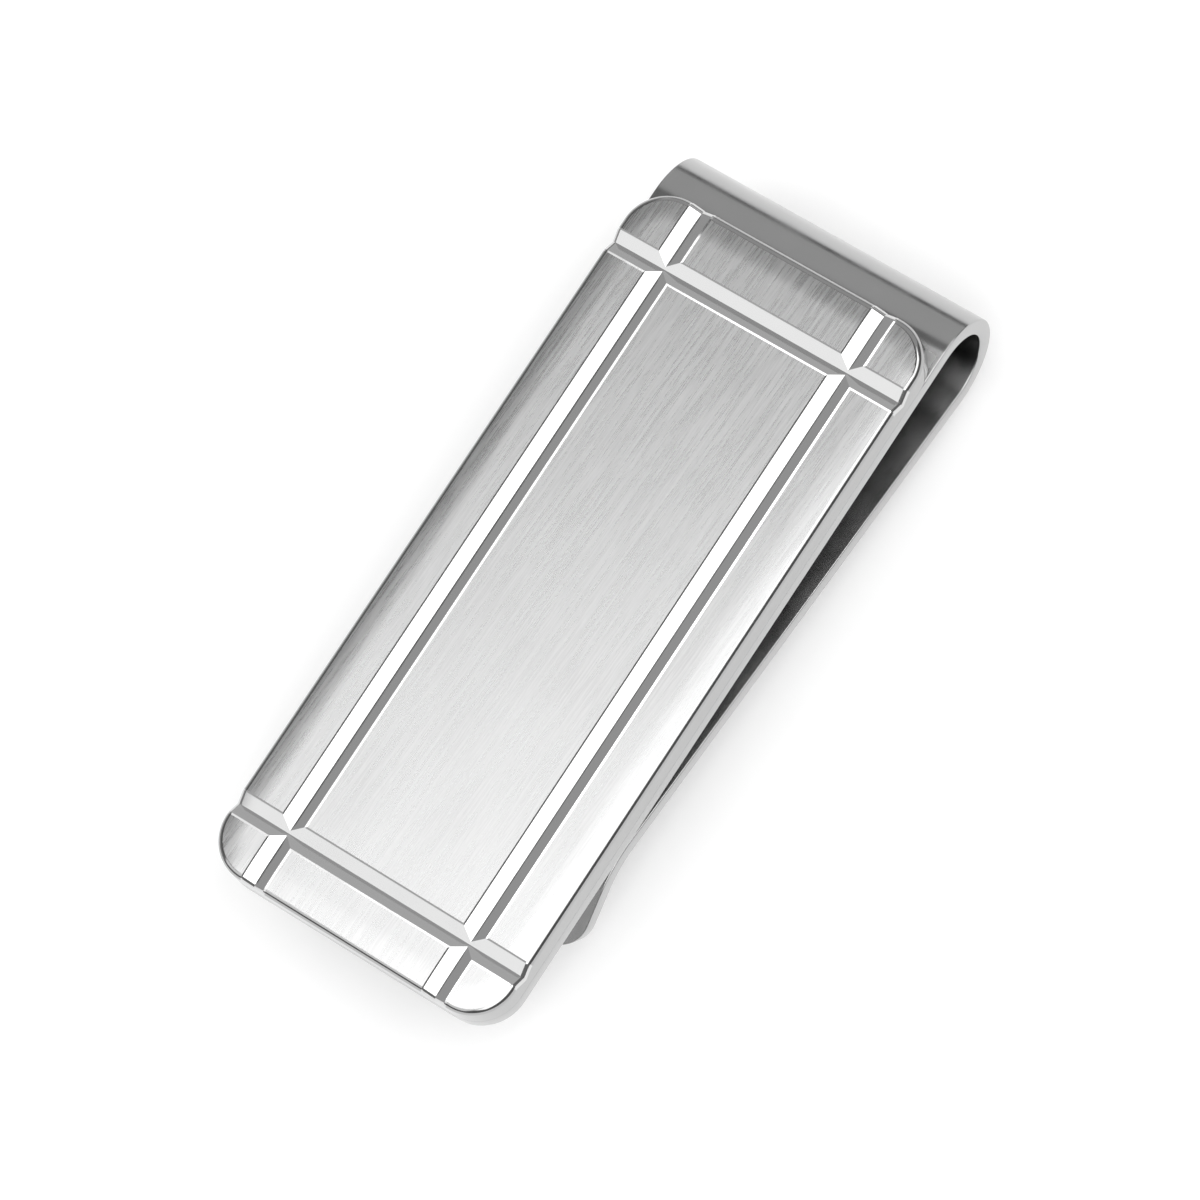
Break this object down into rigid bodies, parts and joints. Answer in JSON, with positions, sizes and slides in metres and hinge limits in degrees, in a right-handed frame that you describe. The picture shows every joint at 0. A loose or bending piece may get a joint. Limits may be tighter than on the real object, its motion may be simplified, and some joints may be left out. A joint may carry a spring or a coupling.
{
  "type": "money clip",
  "caption": "Steel money clip with a grooved rectangular face plate brazed to a bent spring strip whose rear leg flexes open.",
  "frame": {"origin": "under the middle of the clip, at the height of the lowest metal, with the face plate level and facing up", "axes": "+X along the clip towards the closed bend, +Y across it, +Z out of the face"},
  "size_m": [0.0542, 0.022, 0.0096],
  "materials": {
    "brushed_plate": "satin",
    "polished_strip": "polished",
    "braze": "matte"
  },
  "bodies": {
    "plate_and_leaf": {"face_plate": "brushed_plate", "braze_film": "braze", "front_leaf": "polished_strip", "spring_bend": "polished_strip"},
    "spring_leg": {"rear_leg": "polished_strip", "contact_fold": "polished_strip", "lead_in_lip": "polished_strip"}
  },
  "joints": [
    {"name": "leg_flex", "type": "hinge", "parent": "plate_and_leaf", "child": "spring_leg", "pos_m": [0.0233, 0, 0.00385], "axis": [0, -1, 0], "range_deg": [0, 8], "stiffness_Nm_per_rad": 2, "springref_deg": -1.72, "deforming": ["spring_bend"]}
  ]
}
